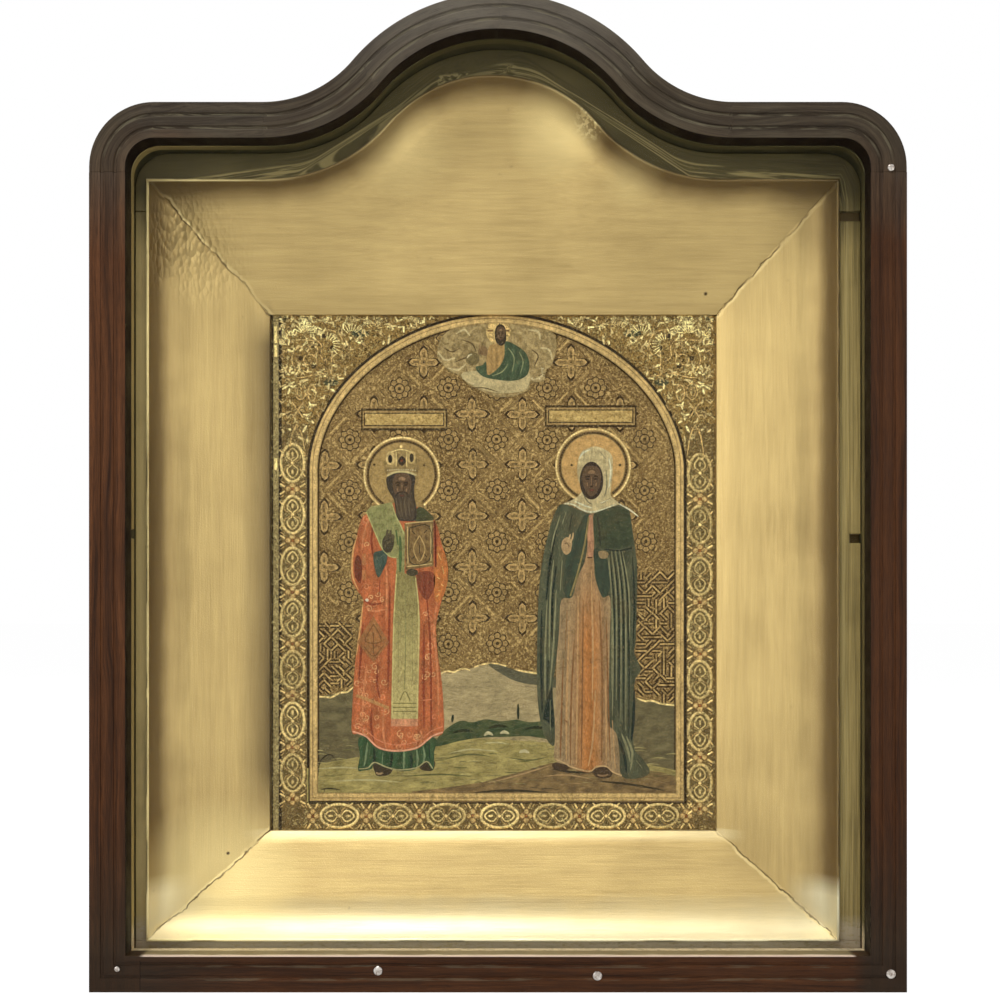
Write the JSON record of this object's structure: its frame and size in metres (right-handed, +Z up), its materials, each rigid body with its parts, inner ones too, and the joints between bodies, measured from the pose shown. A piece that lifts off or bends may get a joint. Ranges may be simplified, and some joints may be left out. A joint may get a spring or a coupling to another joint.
{
  "type": "religious icon in a glazed case",
  "caption": "Arched, glazed wooden case for a devotional icon: a gilded liner slopes back to the painted, gilt panel; turn buttons hold the back; it stands or hangs by a ring.",
  "frame": {"origin": "middle of the case floor's underside, on the surface that the case stands on", "axes": "+Z up, +Y from the glazed front to the back, +X to the right as seen from the front"},
  "size_m": [0.36, 0.0945, 0.44],
  "materials": {
    "frame_wood": "dark stained and waxed",
    "case_wood": "dark stained",
    "bright_steel": "flat nail heads worn bright",
    "clear_glass": "clear",
    "bronzed_wood": "bronze paint, dulled",
    "gilded_gesso": "aged gilding over gesso",
    "icon_gilding": "chased gilding and tempera over gesso",
    "panel_wood": "bare, aged",
    "plain_wood": "bare",
    "back_wood": "bare, darkened",
    "dark_iron": "dark, lightly rusted",
    "button_brass": "dulled"
  },
  "bodies": {
    "case": {"frame_head": "frame_wood", "frame_left_stile": "frame_wood", "frame_right_stile": "frame_wood", "frame_bottom_rail": "frame_wood", "case_left_wall": "case_wood", "case_right_wall": "case_wood", "case_floor": "case_wood", "case_top": "case_wood", "frame_nails": "bright_steel", "glass_pane": "clear_glass", "glazing_bead_left": "bronzed_wood", "glazing_bead_right": "bronzed_wood", "glazing_bead_top": "bronzed_wood", "glazing_bead_bottom": "bronzed_wood", "filler_left": "bronzed_wood", "filler_right": "bronzed_wood", "filler_top": "bronzed_wood", "filler_bottom": "bronzed_wood", "liner_left": "gilded_gesso", "liner_right": "gilded_gesso", "liner_top": "gilded_gesso", "liner_bottom": "gilded_gesso", "icon_ground": "icon_gilding", "icon_panel": "panel_wood", "icon_batten_lower": "panel_wood", "icon_batten_upper": "panel_wood", "case_dowels": "plain_wood", "ledger_left": "plain_wood", "ledger_right": "plain_wood", "ledger_bottom": "plain_wood", "ledger_shoulder_blocks": "plain_wood", "icon_cleats": "plain_wood", "back_board_left": "back_wood", "back_board_middle": "back_wood", "back_board_right": "back_wood", "back_batten_lower": "back_wood", "back_batten_upper": "back_wood", "floor_nails": "dark_iron", "cleat_screws": "dark_iron", "batten_nails": "dark_iron", "turn_button_screws": "dark_iron", "hanger_plate": "dark_iron", "hanger_screws": "dark_iron"},
    "hanging_ring": {"hanging_ring": "dark_iron"},
    "turn_button_lower_left": {"turn_button_lower_left": "button_brass"},
    "turn_button_upper_left": {"turn_button_upper_left": "button_brass"},
    "turn_button_lower_right": {"turn_button_lower_right": "button_brass"},
    "turn_button_upper_right": {"turn_button_upper_right": "button_brass"}
  },
  "joints": [
    {"name": "ring_swing", "type": "hinge", "parent": "case", "child": "hanging_ring", "pos_m": [0, 0.0429, 0.429], "axis": [1, 0, 0], "range_deg": [0, 180]},
    {"name": "turn_button_lower_left_turn", "type": "hinge", "parent": "case", "child": "turn_button_lower_left", "pos_m": [-0.173, 0.0416, 0.11], "axis": [0, 1, 0], "continuous": true},
    {"name": "turn_button_upper_left_turn", "type": "hinge", "parent": "case", "child": "turn_button_upper_left", "pos_m": [-0.173, 0.0416, 0.285], "axis": [0, 1, 0], "continuous": true},
    {"name": "turn_button_lower_right_turn", "type": "hinge", "parent": "case", "child": "turn_button_lower_right", "pos_m": [0.173, 0.0416, 0.11], "axis": [0, -1, 0], "continuous": true},
    {"name": "turn_button_upper_right_turn", "type": "hinge", "parent": "case", "child": "turn_button_upper_right", "pos_m": [0.173, 0.0416, 0.285], "axis": [0, -1, 0], "continuous": true}
  ]
}
